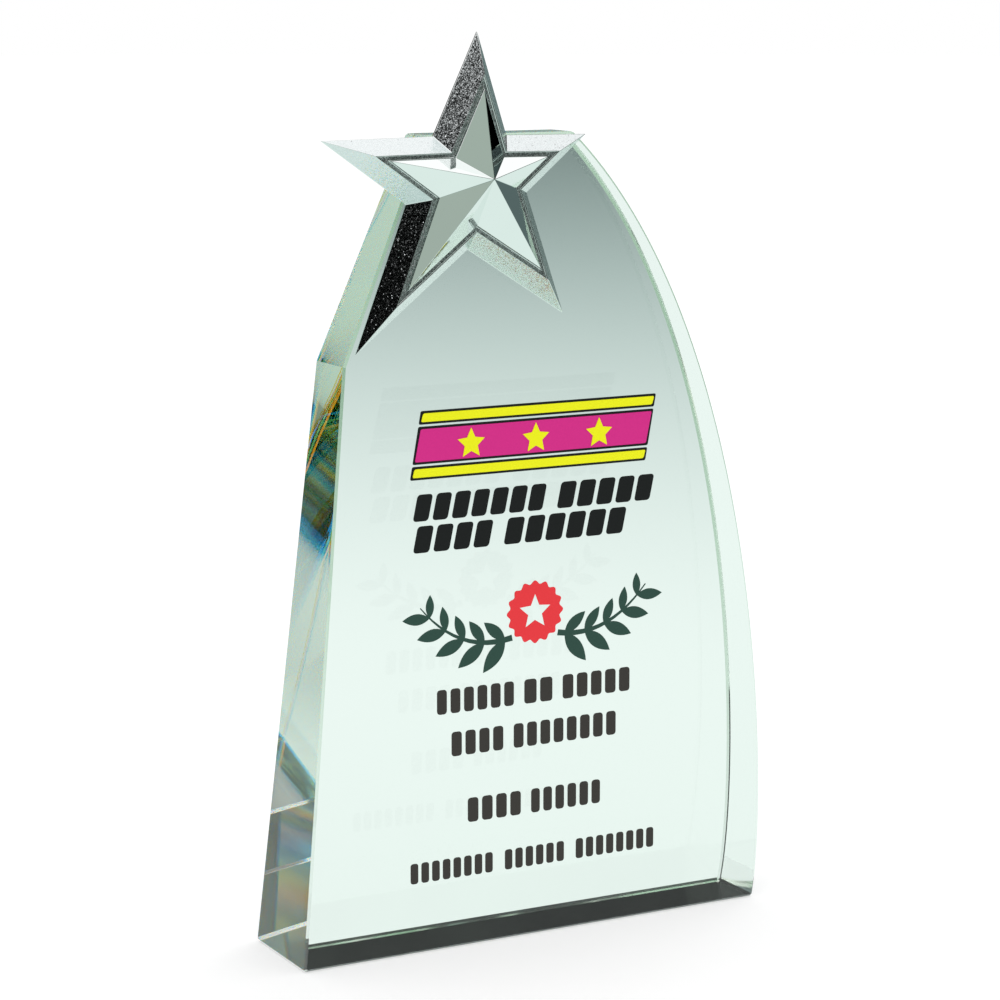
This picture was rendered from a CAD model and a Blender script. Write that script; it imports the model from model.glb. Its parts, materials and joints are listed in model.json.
"""Star trophy: a wedge of optical glass, a plated star bonded to its front, and a printed front face."""

import json
import math

import bmesh
import bpy
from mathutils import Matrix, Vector


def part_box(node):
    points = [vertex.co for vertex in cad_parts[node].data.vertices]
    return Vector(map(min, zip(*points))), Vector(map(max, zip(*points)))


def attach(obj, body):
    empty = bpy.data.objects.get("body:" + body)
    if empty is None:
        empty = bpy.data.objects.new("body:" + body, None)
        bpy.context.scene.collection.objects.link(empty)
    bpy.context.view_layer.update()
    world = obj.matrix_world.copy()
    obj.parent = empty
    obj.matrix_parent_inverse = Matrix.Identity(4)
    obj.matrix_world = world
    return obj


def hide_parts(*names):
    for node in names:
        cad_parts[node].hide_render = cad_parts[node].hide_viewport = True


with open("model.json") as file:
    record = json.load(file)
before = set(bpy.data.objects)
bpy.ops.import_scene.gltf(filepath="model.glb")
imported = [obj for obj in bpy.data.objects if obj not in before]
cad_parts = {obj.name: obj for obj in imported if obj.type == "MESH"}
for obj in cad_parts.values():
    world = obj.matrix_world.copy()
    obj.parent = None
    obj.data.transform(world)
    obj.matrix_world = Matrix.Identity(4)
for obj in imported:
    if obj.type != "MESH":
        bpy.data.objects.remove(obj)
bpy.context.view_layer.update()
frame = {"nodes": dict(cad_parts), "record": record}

MM = 0.001

# ---- sizes, in millimetres from the left base corner of the front face ------------------------------
BASE_WIDTH = 130
BASE_DEPTH = 29
TOP_DEPTH = 10.8
BODY_HEIGHT = 202
SHOULDER = (12, 147.8)
TOP_LEFT = 34
TOP_RIGHT = 74.5
FLANK_PULL_BASE = (135.1, 27.6)
FLANK_PULL_TOP = (131.1, 150.3)
FLANK_STEPS = 120
FLANK_SMOOTH = 8  # degrees; flatter turns between two faces of the rim are shaded smooth
EDGE_POLISH = 0.6
CORNER_POLISH = 0.5
CHAMFER_WIDTH = 1  # narrower faces of the rim are the chamfers across its corners
INK_GAP = 0.02  # air film between the glass and what lies on its front

ADHESIVE = 0.3
STAR_EDGE = 0.5
STAR_BEVEL = 3.7
STAR_BEVEL_TOP = 6.1
GROOVE_WIDTH = 1.3
GROOVE_DEPTH = 0.5
GROOVE_DRAFT = 0.15
STAR_FACET_FOOT = 6.4
STAR_APEX = (45.9, 191.9, 12.6)
STAR_OUTLINE = [
    (47.5, 226.2),
    (35.6, 201.7),
    (6.4, 201.3),
    (28.4, 185.8),
    (14.8, 150.7),
    (44.9, 174.5),
    (71.2, 157.9),
    (61.0, 187.6),
    (77.4, 201.3),
    (55.4, 201.6),
]
RIDGE_ROUND = 0.1  # radius that plating leaves on the casting's ridges
RIDGE_ANGLE = 12  # degrees; sharper turns are ridges

TITLE_LEAN = 1.4
TITLE_PITCH = 0.8  # one mark of the title rows and its gap, against the row's height
DETAIL_PITCH = 0.58
MARK_GAP = 0.17  # gap between two marks of a printed row, against the row's height
MARK_ROUND = 0.14  # corner radius of a mark, against the row's height
ROUND_PULL = 0.6  # how far a rounded corner's curve is pulled towards the corner
ROUND_STEPS = 4

# ---- finishes ---------------------------------------------------------------------------------------
GLASS_IOR = 1.52
# The warm, the middle and the cool part of white light, each with the glass's index of refraction.
PRISM = (((0.86, 0.3, 0), 1.511), ((0.14, 0.4, 0.14), 1.52), ((0, 0.3, 0.86), 1.53))
GLASS_TONES = ((0.975, 0.99, 0.98), (0.985, 1.0, 0.99))
GLASS_TINT = (0.79, 0.875, 0.8)  # the faint green-grey that thick glass takes on
GLASS_DENSITY = 8.0
RIM_WAVE = 70  # waves a metre across the hand-polished rim
RIM_WAVE_HEIGHT = 0.006 * MM
CHAMFER_CLEARNESS = 0.88
STRAY_TILT = 0.4  # how far up the few stray flakes lean
STRAY_FROM = 0.7  # a flake's own lean at which it starts to stray, and at which it strays fully
STRAY_TO = 0.82
BASE_COAT = (0.9, 0.91, 0.9)  # white under the ink
INKS = {
    "ink_black": (0.005, 0.006, 0.006),
    "ink_charcoal": (0.038, 0.033, 0.029),
    "ink_yellow": (0.93, 0.9, 0.004),
    "ink_magenta": (0.70, 0.02, 0.247),
    "ink_green": (0.024, 0.068, 0.051),
    "ink_red": (0.84, 0.036, 0.046),
}

# ---- studio, in metres and degrees; an azimuth is measured from the front, positive to the right ----
CAMERA_AZIMUTH = -28.387
CAMERA_ELEVATION = 9.946
CAMERA_LENS = 106.61
CAMERA_PLACE = (-0.3515, -0.6448, 0.2381)
SENSOR_WIDTH = 36

KEY_AZIMUTH = 107
KEY_ELEVATION = 58
KEY_DISTANCE = 1.2
KEY_AIM = (0, 0, 0.1)
KEY_SIZE = 0.7
KEY_POWER = 2

GLASS_BOUNCES = 96  # light that is trapped in the glass needs many turns to find its way out
DIFFUSE_BOUNCES = 4

TABLE_RADIUS = 9.0
TABLE_GAP = 0.3 * MM
TABLE_GLOW = 0.5
TABLE_FALLOFF = 1.1  # distance from the trophy at which the table is half as bright
NEAR_COLOUR = (0.955, 1.03, 1.0)
FAR_COLOUR = (0.74, 1.03, 0.985)
FAR_LIGHT = 0.2  # the least light that the far end of the table gets
CONTACT_SHADE = 0.93  # brightness of the table right at the trophy's foot
CONTACT_REACH = 0.35
SHADE_AZIMUTH = -152  # the dark part of the table, behind on the left, that the left side mirrors
SHADE_HALF = 12
SHADE_SOFT = 8
SHADE_REACH = (0.28, 0.48)  # distance from the trophy at which that shade starts and is full

WALL_COLOUR = (0.152, 0.206, 0.197)  # the far wall behind the trophy, lit along its foot
WALL_FOOT = 1.5  # elevation at which its light starts to fade, and at which it has gone
WALL_DARK = 8
WALL_SIDES = (0.45, 0.75)  # the Y of a direction at which the wall starts and is full
CANOPY_FROM = 32  # elevation at which the white canopy starts
CANOPY_SOFT = 24
CANOPY_COLOUR = (1.25, 1.19, 1.21)
# What the plating and the glass mirror between the table and the canopy. Each card is its azimuth, half
# width and softness, its lowest and highest elevation and softness, its colour, and the scale and
# contrast of its clutter.
CARDS = (
    (-38, 18, 12, 4, 31, 6, (0.43, 0.49, 0.44), 0, 1),
    (12, 18, 12, 6, 32, 6, (0.16, 0.19, 0.165), 22, 3.2),
    (97, 6, 4, -4, 14, 4, (0.11, 0.15, 0.15), 0, 1),
    (138, 10, 8, -4, 9, 5, (0.07, 0.09, 0.09), 0, 1),
)


def spot(x, depth, z):
    """A point x right of the left base corner, depth behind the front face and z up, in metres."""
    return Vector(((x - BASE_WIDTH / 2) * MM, (depth - BASE_DEPTH / 2) * MM, z * MM))


def sine(degrees):
    return math.sin(math.radians(degrees))


# ---- outlines in the front plane --------------------------------------------------------------------
def inset(outline, distance):
    """The anticlockwise outline with every side moved inwards by distance."""
    moved = []
    for i, corner in enumerate(outline):
        before = outline[i - 1]
        after = outline[(i + 1) % len(outline)]
        along = (corner - before).normalized()
        onward = (after - corner).normalized()
        side = Vector((-along.y, along.x))
        normal = (side + Vector((-onward.y, onward.x))).normalized()
        moved.append(corner + normal * (distance / normal.dot(side)))
    return moved


def cut_corner(before, corner, after, cut):
    """The two points that replace a corner, each at distance cut from it."""
    return [
        corner + (before - corner).normalized() * cut,
        corner + (after - corner).normalized() * cut,
    ]


def bezier(start, pull_start, pull_end, end, steps):
    """Points along a cubic curve, both ends included."""
    points = []
    for i in range(steps + 1):
        t = i / steps
        s = 1 - t
        pulled = start * s**3 + pull_start * (3 * s * s * t) + pull_end * (3 * s * t * t)
        points.append(pulled + end * t**3)
    return points


def rounded(corners, radius):
    """The outline through the corners, each replaced by a short curve."""
    points = []
    for i, corner in enumerate(corners):
        enter, leave = cut_corner(corners[i - 1], corner, corners[(i + 1) % len(corners)], radius)
        pull_enter = enter.lerp(corner, ROUND_PULL)
        pull_leave = leave.lerp(corner, ROUND_PULL)
        points += bezier(enter, pull_enter, pull_leave, leave, ROUND_STEPS)
    return points


def glass_outline():
    """The glass block from the front: straight but for the flank on the right, its corners polished off."""
    base_left = Vector((0, 0))
    base_right = Vector((BASE_WIDTH, 0))
    top_right = Vector((TOP_RIGHT, BODY_HEIGHT))
    top_left = Vector((TOP_LEFT, BODY_HEIGHT))
    shoulder = Vector(SHOULDER)
    pulls = (Vector(FLANK_PULL_BASE), Vector(FLANK_PULL_TOP))
    flank = bezier(base_right, *pulls, top_right, FLANK_STEPS)[1:-1]
    for corner in (base_right, top_right):
        flank = [p for p in flank if (p - corner).length > 2 * CORNER_POLISH]
    return [
        *cut_corner(shoulder, base_left, base_right, CORNER_POLISH),
        *cut_corner(base_left, base_right, flank[0], CORNER_POLISH),
        *flank,
        *cut_corner(flank[-1], top_right, top_left, CORNER_POLISH),
        *cut_corner(top_right, top_left, shoulder, CORNER_POLISH),
        shoulder,
    ]


# ---- mesh helpers -----------------------------------------------------------------------------------
def new_object(name, bm, materials):
    """Turns the bmesh into an object of the scene, with its faces turned outwards."""
    bmesh.ops.recalc_face_normals(bm, faces=bm.faces)
    mesh = bpy.data.meshes.new(name)
    bm.to_mesh(mesh)
    bm.free()
    for material in materials:
        mesh.materials.append(material)
    obj = bpy.data.objects.new(name, mesh)
    bpy.context.scene.collection.objects.link(obj)
    return obj


def add_ring(bm, outline, depth):
    """One vertex for each outline point; depth is a number, or a function of height."""
    at = depth if callable(depth) else lambda z: depth
    return [bm.verts.new(spot(p.x, at(p.y), p.y)) for p in outline]


def bridge(bm, ring_a, ring_b, finish=0):
    """A band of faces between two rings of equally many vertices."""
    for i in range(len(ring_a)):
        j = (i + 1) % len(ring_a)
        face = bm.faces.new((ring_a[i], ring_a[j], ring_b[j], ring_b[i]))
        face.material_index = finish


def smooth_by_angle(obj, degrees):
    obj.data.polygons.foreach_set("use_smooth", [True] * len(obj.data.polygons))
    obj.data.set_sharp_from_angle(angle=math.radians(degrees))


# ---- node helpers -----------------------------------------------------------------------------------
class Tree:
    """Adds nodes to a node tree and joins them. A value or colour is a number, a tuple or a socket."""

    def __init__(self, tree):
        self.tree = tree

    def add(self, kind, **settings):
        node = self.tree.nodes.new(kind)
        for key, value in settings.items():
            setattr(node, key, value)
        return node

    def link(self, source, target):
        self.tree.links.new(source, target)

    def feed(self, target, value):
        if isinstance(value, bpy.types.NodeSocket):
            self.link(value, target)
        else:
            target.default_value = value

    def math(self, operation, first, second=0.0):
        node = self.add("ShaderNodeMath", operation=operation)
        self.feed(node.inputs[0], first)
        self.feed(node.inputs[1], second)
        return node.outputs[0]

    def product(self, first, *others):
        for other in others:
            first = self.math("MULTIPLY", first, other)
        return first

    def vector(self, operation, first, second=(0, 0, 0)):
        node = self.add("ShaderNodeVectorMath", operation=operation)
        self.feed(node.inputs[0], first)
        self.feed(node.inputs[1], second)
        return node.outputs["Vector"]

    def scaled(self, vector, factor):
        node = self.add("ShaderNodeVectorMath", operation="SCALE")
        self.feed(node.inputs[0], vector)
        self.feed(node.inputs["Scale"], factor)
        return node.outputs["Vector"]

    def length(self, vector):
        node = self.add("ShaderNodeVectorMath", operation="LENGTH")
        self.link(vector, node.inputs[0])
        return node.outputs["Value"]

    def parts(self, vector):
        """The vector's components, by the names X, Y and Z."""
        node = self.add("ShaderNodeSeparateXYZ")
        self.link(vector, node.inputs[0])
        return node.outputs

    def azimuth(self, parts):
        """The azimuth of a place or a direction, in radians."""
        return self.math("ARCTAN2", parts["X"], self.math("MULTIPLY", parts["Y"], -1.0))

    def around(self, azimuth, middle, half, soft):
        """1 within half of the middle azimuth, and fading to 0 over the next soft degrees."""
        off = self.math("ABSOLUTE", self.math("SUBTRACT", azimuth, math.radians(middle)))
        inner = math.radians(half)
        outer = math.radians(half + soft)
        return self.spread(off, 1.0, 0.0, inner, outer, smooth=True)

    def spread(self, value, low, high, start=0.0, end=1.0, smooth=False):
        """From low to high, as value goes from start to end."""
        kind = "SMOOTHSTEP" if smooth else "LINEAR"
        node = self.add("ShaderNodeMapRange", interpolation_type=kind)
        node.inputs["From Min"].default_value = start
        node.inputs["From Max"].default_value = end
        node.inputs["To Min"].default_value = low
        node.inputs["To Max"].default_value = high
        self.feed(node.inputs["Value"], value)
        return node.outputs["Result"]

    def blend(self, factor, colour_a, colour_b):
        node = self.add("ShaderNodeMix", data_type="RGBA")
        self.feed(node.inputs["Factor"], factor)
        for name, colour in (("A", colour_a), ("B", colour_b)):
            self.feed(node.inputs[name], (*colour, 1) if isinstance(colour, tuple) else colour)
        return node.outputs["Result"]

    def mix_shaders(self, factor, first, second):
        node = self.add("ShaderNodeMixShader")
        self.feed(node.inputs["Fac"], factor)
        self.link(first, node.inputs[1])
        self.link(second, node.inputs[2])
        return node.outputs["Shader"]


class Nodes(Tree):
    """One material's tree, with what feeds its Principled shader."""

    def __init__(self, name, **values):
        self.material = bpy.data.materials.new(name)
        self.material.use_nodes = True
        super().__init__(self.material.node_tree)
        self.shader = self.tree.nodes["Principled BSDF"]
        self.output = self.tree.nodes["Material Output"]
        self.place = self.add("ShaderNodeTexCoord").outputs["Object"]
        for key, value in values.items():
            self.shader.inputs[key.replace("_", " ")].default_value = value

    def colour(self, factor, colour_a, colour_b):
        self.link(self.blend(factor, colour_a, colour_b), self.shader.inputs["Base Color"])

    def roughness(self, value, low, high, start=0.0, end=1.0):
        spread = self.spread(value, low, high, start, end)
        self.link(spread, self.shader.inputs["Roughness"])

    def normal(self, source):
        self.link(source, self.shader.inputs["Normal"])

    def noise(self, scale, detail=3, roughness=0.5):
        texture = self.add("ShaderNodeTexNoise")
        texture.inputs["Scale"].default_value = scale
        texture.inputs["Detail"].default_value = detail
        texture.inputs["Roughness"].default_value = roughness
        self.link(self.place, texture.inputs["Vector"])
        return texture.outputs["Fac"]

    def bump(self, height, distance, strength=1.0):
        node = self.add("ShaderNodeBump")
        node.inputs["Distance"].default_value = distance
        node.inputs["Strength"].default_value = strength
        self.link(height, node.inputs["Height"])
        return node.outputs["Normal"]

    def flakes(self, size, tilt):
        """Normals and tints that differ from one tiny facet to the next. A few facets lean far upwards."""
        cells = self.add("ShaderNodeTexVoronoi")
        cells.inputs["Scale"].default_value = 1 / size
        self.link(self.place, cells.inputs["Vector"])
        lean = self.vector("SUBTRACT", cells.outputs["Color"], (0.5, 0.5, 0.5))
        stray = self.spread(self.length(lean), 0.0, STRAY_TILT, STRAY_FROM, STRAY_TO)
        tilted = self.vector("ADD", self.scaled(lean, tilt), self.scaled((0, 0, 1), stray))
        base = self.add("ShaderNodeNewGeometry").outputs["Normal"]
        normal = self.vector("NORMALIZE", self.vector("ADD", base, tilted))
        return normal, cells.outputs["Color"]


# ---- materials --------------------------------------------------------------------------------------
def optical_glass(name, clearness=1.0):
    """What all the glass has in common: its index of refraction and its tint in depth."""
    n = Nodes(name, IOR=GLASS_IOR, Transmission_Weight=clearness)
    absorb = n.add("ShaderNodeVolumeAbsorption")
    absorb.inputs["Color"].default_value = (*GLASS_TINT, 1)
    absorb.inputs["Density"].default_value = GLASS_DENSITY
    n.link(absorb.outputs["Volume"], n.output.inputs["Volume"])
    return n


def face_glass():
    """The polished front and back faces."""
    n = optical_glass("optical_glass_face")
    n.colour(n.noise(30, 2), *GLASS_TONES)
    n.roughness(n.noise(60, 4), 0.0, 0.004, 0.45, 0.7)
    return n.material


def rim_glass():
    """The hand-polished rim, slightly wavy. Light that enters here splits into its colours."""
    n = optical_glass("optical_glass_rim")
    n.shader.inputs["Roughness"].default_value = 0.0
    n.colour(n.noise(30, 2), *GLASS_TONES)
    waves = n.bump(n.noise(RIM_WAVE, 1, 0.4), RIM_WAVE_HEIGHT)
    n.normal(waves)
    split = None
    for count, (colour, ior) in enumerate(PRISM, 1):
        glass = n.add("ShaderNodeBsdfGlass")
        # The even mix divides each part by their number, so its colour is that many times as strong.
        glass.inputs["Color"].default_value = (*[len(PRISM) * c for c in colour], 1)
        glass.inputs["Roughness"].default_value = 0.0
        glass.inputs["IOR"].default_value = ior
        n.link(waves, glass.inputs["Normal"])
        part = glass.outputs["BSDF"]
        split = n.mix_shaders(1 / count, split, part) if split else part
    inside = n.add("ShaderNodeNewGeometry").outputs["Backfacing"]
    mixed = n.mix_shaders(inside, split, n.shader.outputs["BSDF"])
    n.link(mixed, n.output.inputs["Surface"])
    return n.material


def chamfer_glass():
    """The narrow chamfers, polished less than the faces."""
    n = optical_glass("optical_glass_chamfer", CHAMFER_CLEARNESS)
    n.colour(n.noise(200), (0.96, 0.985, 0.975), (0.985, 1.0, 0.99))
    n.roughness(n.noise(500), 0.03, 0.08)
    return n.material


def polished_chrome():
    """The star's faceted centre, its outer edge and its back."""
    n = Nodes("polished_chrome", Metallic=1.0)
    n.colour(n.noise(90), (0.77, 0.84, 0.815), (0.80, 0.87, 0.845))
    n.roughness(n.noise(400, 4), 0.015, 0.05)
    n.normal(n.bump(n.noise(220, 2), 0.04 * MM, 0.25))
    return n.material


def sparkle_chrome():
    """The star's outer slopes."""
    n = Nodes("sparkle_chrome", Metallic=1.0)
    normal, tint = n.flakes(0.21 * MM, 0.19)
    n.colour(tint, (0.63, 0.71, 0.70), (0.77, 0.84, 0.83))
    n.roughness(n.noise(700), 0.1, 0.16)
    n.normal(normal)
    return n.material


def groove_grain():
    """The dull, dark grain in the groove between the slopes and the centre."""
    n = Nodes("groove_grain", Metallic=1.0)
    normal, tint = n.flakes(0.26 * MM, 1.2)
    n.colour(tint, (0.12, 0.14, 0.135), (0.56, 0.61, 0.6))
    n.roughness(n.noise(900), 0.4, 0.6)
    n.normal(normal)
    return n.material


def clear_bond():
    """The cured adhesive between the star and the glass."""
    n = Nodes("clear_bond", IOR=1.48, Transmission_Weight=0.6)
    n.colour(n.noise(300, 4), (0.82, 0.84, 0.83), (0.95, 0.96, 0.95))
    n.roughness(n.noise(500, 4), 0.1, 0.35)
    return n.material


def ink(name, colour):
    """Cured ink, finely uneven in tone, sheen and grain. The side against the glass is its base coat."""
    n = Nodes(name, Specular_IOR_Level=0.2)
    paler = tuple(min(1.0, c * 1.12 + 0.006) for c in colour)
    tone = n.blend(n.noise(2600, 2), colour, paler)
    facing = n.parts(n.add("ShaderNodeTexCoord").outputs["Normal"])
    n.colour(n.math("GREATER_THAN", facing["Y"], 0.5), tone, BASE_COAT)
    n.roughness(n.noise(900), 0.32, 0.5)
    n.normal(n.bump(n.noise(3200, 2), 0.02 * MM, 0.4))
    return n.material


def pale_table():
    """Plain and pale. In the glass and the plating it falls off to the dark studio beyond the lit part."""
    n = Nodes("pale_table", Roughness=0.6, Specular_IOR_Level=0.0)
    n.shader.inputs["Emission Color"].default_value = (1, 1, 1, 1)
    n.shader.inputs["Emission Strength"].default_value = TABLE_GLOW
    n.colour(n.noise(300), (0.54, 0.545, 0.545), (0.56, 0.565, 0.565))
    path = n.add("ShaderNodeLightPath").outputs
    distance = n.length(n.place)
    square = n.math("POWER", n.math("DIVIDE", distance, TABLE_FALLOFF), 2.0)
    falloff = n.math("MAXIMUM", n.math("DIVIDE", 1.0, n.math("ADD", square, 1.0)), FAR_LIGHT)
    contact = n.spread(distance, CONTACT_SHADE, 1.0, 0.0, CONTACT_REACH, smooth=True)
    across = n.around(n.azimuth(n.parts(n.place)), SHADE_AZIMUTH, SHADE_HALF, SHADE_SOFT)
    outwards = n.spread(distance, 0.0, 1.0, *SHADE_REACH, smooth=True)
    shade = n.product(across, outwards, path["Is Reflection Ray"])
    light = n.product(falloff, contact, n.math("SUBTRACT", 1.0, shade))
    glow = n.add("ShaderNodeEmission")
    n.link(light, glow.inputs["Strength"])
    n.link(n.blend(light, FAR_COLOUR, NEAR_COLOUR), glow.inputs["Color"])
    mixed = n.mix_shaders(path["Is Camera Ray"], glow.outputs["Emission"], n.shader.outputs["BSDF"])
    n.link(mixed, n.output.inputs["Surface"])
    return n.material


# ---- pieces -----------------------------------------------------------------------------------------
def make_glass():
    face, rim, chamfer = range(3)
    bm = bmesh.new()
    outline = glass_outline()
    polished = inset(outline, EDGE_POLISH)

    def back(z):
        return BASE_DEPTH + (TOP_DEPTH - BASE_DEPTH) * z / BODY_HEIGHT

    rings = [
        add_ring(bm, polished, INK_GAP),
        add_ring(bm, outline, EDGE_POLISH),
        add_ring(bm, outline, lambda z: back(z) - EDGE_POLISH),
        add_ring(bm, polished, back),
    ]
    for ring_a, ring_b, finish in zip(rings, rings[1:], (chamfer, rim, chamfer)):
        bridge(bm, ring_a, ring_b, finish)
    bm.faces.new(rings[0]).material_index = face
    bm.faces.new(rings[-1]).material_index = face
    for side in bm.faces:
        narrowest = min(e.calc_length() for e in side.edges)
        if side.material_index == rim and narrowest < CHAMFER_WIDTH * MM:
            side.material_index = chamfer
    glass = new_object("glass_block", bm, [face_glass(), rim_glass(), chamfer_glass()])
    smooth_by_angle(glass, FLANK_SMOOTH)
    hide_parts("glass_body")
    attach(glass, "root")


def make_star():
    chrome, sparkle, grain = range(3)
    bm = bmesh.new()
    outline = [Vector(p) for p in STAR_OUTLINE]
    crest = STAR_BEVEL
    foot = STAR_BEVEL + GROOVE_WIDTH
    groove_floor = STAR_BEVEL_TOP - GROOVE_DEPTH
    rings = [
        add_ring(bm, outline, -ADHESIVE),
        add_ring(bm, outline, -ADHESIVE - STAR_EDGE),
        add_ring(bm, inset(outline, crest), -STAR_BEVEL_TOP),
        add_ring(bm, inset(outline, crest + GROOVE_DRAFT), -groove_floor),
        add_ring(bm, inset(outline, foot - GROOVE_DRAFT), -groove_floor),
        add_ring(bm, inset(outline, foot), -STAR_FACET_FOOT),
    ]
    bm.faces.new(rings[0])
    for ring_a, ring_b, finish in zip(rings, rings[1:], (chrome, sparkle, grain, grain, chrome)):
        bridge(bm, ring_a, ring_b, finish)
    apex_x, apex_z, apex_height = STAR_APEX
    apex = bm.verts.new(spot(apex_x, -apex_height, apex_z))
    last = rings[-1]
    for i in range(len(last)):
        facet = bm.faces.new((last[i], last[(i + 1) % len(last)], apex))
        facet.material_index = chrome
    bmesh.ops.recalc_face_normals(bm, faces=bm.faces)
    ridges = [e for e in bm.edges if e.calc_face_angle(0) > math.radians(RIDGE_ANGLE)]
    rounds = bmesh.ops.bevel(
        bm,
        geom=ridges,
        offset=RIDGE_ROUND * MM,
        segments=2,
        profile=0.5,
        affect="EDGES",
        clamp_overlap=True,
    )
    for round_face in rounds["faces"]:
        round_face.smooth = True
    star = new_object("star_plated", bm, [polished_chrome(), sparkle_chrome(), groove_grain()])
    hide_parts("star_casting")
    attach(star, "root")


def make_marks(node, lean, pitch, material):
    """Stands a row of small blocks in for a printed word, within the word's own box."""
    low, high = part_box(node)
    height = high[2] - low[2]
    width = high[0] - low[0] - lean
    gap = MARK_GAP * height
    count = max(1, round(width / (pitch * height)))
    step = (width + gap) / count
    bm = bmesh.new()
    for i in range(count):
        left = low[0] + i * step
        right = left + step - gap
        corners = [
            Vector((left, low[2])),
            Vector((right, low[2])),
            Vector((right + lean, high[2])),
            Vector((left + lean, high[2])),
        ]
        outline = rounded(corners, MARK_ROUND * height)
        front = [bm.verts.new((p.x, low[1], p.y)) for p in outline]
        back = [bm.verts.new((p.x, high[1], p.y)) for p in outline]
        bridge(bm, front, back)
        bm.faces.new(front)
        bm.faces.new(back)
    marks = new_object(node.replace("_bar_", "_marks_"), bm, [material])
    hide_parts(node)
    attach(marks, "root")
    return marks


def dress_cad_nodes():
    """Puts marks in place of the printed words, and materials on the CAD nodes that stay."""
    materials = {name: ink(name, colour) for name, colour in INKS.items()}
    materials["clear_bond"] = clear_bond()
    for subpart in frame["record"]["subparts"]:
        node = subpart["node"]
        slot = subpart["material_slot"]
        if node.startswith("print_title"):
            make_marks(node, TITLE_LEAN * MM, TITLE_PITCH, materials[slot])
        elif node.startswith("print_detail"):
            make_marks(node, 0.0, DETAIL_PITCH, materials[slot])
        elif slot in materials:
            obj = frame["nodes"][node]
            obj.data.materials.clear()
            obj.data.materials.append(materials[slot])


# ---- studio -----------------------------------------------------------------------------------------
def make_floor():
    bm = bmesh.new()
    bmesh.ops.create_circle(bm, cap_ends=True, segments=96, radius=TABLE_RADIUS)
    floor = new_object("floor", bm, [pale_table()])
    floor.location.z = -TABLE_GAP


def card(n, azimuth, rise, spec):
    """The colour that one card adds to the studio. The direction is an azimuth, and a rise as a sine."""
    middle, half, side_soft, low, high, soft, colour, clutter, contrast = spec
    across = n.around(azimuth, middle, half, side_soft)
    above = n.spread(rise, 0.0, 1.0, sine(low - soft), sine(low), smooth=True)
    below = n.spread(rise, 1.0, 0.0, sine(high), sine(high + soft), smooth=True)
    level = n.product(above, below, across)
    if clutter:
        texture = n.add("ShaderNodeTexNoise")
        texture.inputs["Scale"].default_value = clutter
        texture.inputs["Detail"].default_value = 2
        patches = n.spread(texture.outputs["Fac"], 0.1, contrast, 0.35, 0.75, smooth=True)
        level = n.product(level, patches)
    return n.scaled(colour, level)


def make_world():
    """A studio with a white canopy, dark walls and a few grey cards. Seen directly it is plain white."""
    world = bpy.data.worlds.new("studio")
    bpy.context.scene.world = world
    world.use_nodes = True
    n = Tree(world.node_tree)
    way = n.parts(n.add("ShaderNodeTexCoord").outputs["Generated"])
    rise = way["Z"]
    azimuth = n.azimuth(way)
    canopy_full = CANOPY_FROM + CANOPY_SOFT
    canopy = n.spread(rise, 0.0, 1.0, sine(CANOPY_FROM), sine(canopy_full), smooth=True)
    lit = n.spread(rise, 1.0, 0.0, sine(WALL_FOOT), sine(WALL_DARK), smooth=True)
    behind = n.spread(way["Y"], 0.0, 1.0, *WALL_SIDES, smooth=True)
    wall = n.scaled(WALL_COLOUR, n.product(lit, behind))
    total = n.vector("ADD", n.scaled(CANOPY_COLOUR, canopy), wall)
    for spec in CARDS:
        total = n.vector("ADD", total, card(n, azimuth, rise, spec))
    mirrored = n.add("ShaderNodeBackground")
    n.link(total, mirrored.inputs["Color"])
    white = n.tree.nodes["Background"]
    white.inputs["Color"].default_value = (1, 1, 1, 1)
    path = n.add("ShaderNodeLightPath").outputs
    plain = n.math("MAXIMUM", path["Is Camera Ray"], path["Is Diffuse Ray"])
    mixed = n.mix_shaders(plain, mirrored.outputs["Background"], white.outputs["Background"])
    n.link(mixed, n.tree.nodes["World Output"].inputs["Surface"])


def make_key_light():
    """A square lamp that isn't itself mirrored."""
    a = math.radians(KEY_AZIMUTH)
    e = math.radians(KEY_ELEVATION)
    way = Vector((math.sin(a) * math.cos(e), -math.cos(a) * math.cos(e), math.sin(e)))
    data = bpy.data.lights.new("key_light", "AREA")
    data.shape = "SQUARE"
    data.size = KEY_SIZE
    data.energy = KEY_POWER
    lamp = bpy.data.objects.new("key_light", data)
    lamp.location = Vector(KEY_AIM) + way * KEY_DISTANCE
    lamp.rotation_euler = (-way).to_track_quat("-Z", "Y").to_euler()
    lamp.visible_glossy = False
    lamp.visible_transmission = False
    bpy.context.scene.collection.objects.link(lamp)


def make_camera():
    data = bpy.data.cameras.new("camera")
    data.lens = CAMERA_LENS
    data.sensor_width = SENSOR_WIDTH
    data.clip_start = 0.01
    camera = bpy.data.objects.new("camera", data)
    camera.location = CAMERA_PLACE
    tilt = math.radians(90 - CAMERA_ELEVATION)
    camera.rotation_euler = (tilt, 0, math.radians(CAMERA_AZIMUTH))
    bpy.context.scene.collection.objects.link(camera)
    bpy.context.scene.camera = camera


def set_light_paths():
    cycles = bpy.context.scene.cycles
    cycles.max_bounces = GLASS_BOUNCES
    cycles.transmission_bounces = GLASS_BOUNCES
    cycles.glossy_bounces = GLASS_BOUNCES
    cycles.diffuse_bounces = DIFFUSE_BOUNCES
    bpy.context.scene.view_settings.view_transform = "Standard"


make_camera()
make_glass()
make_star()
dress_cad_nodes()
make_floor()
make_world()
make_key_light()
set_light_paths()
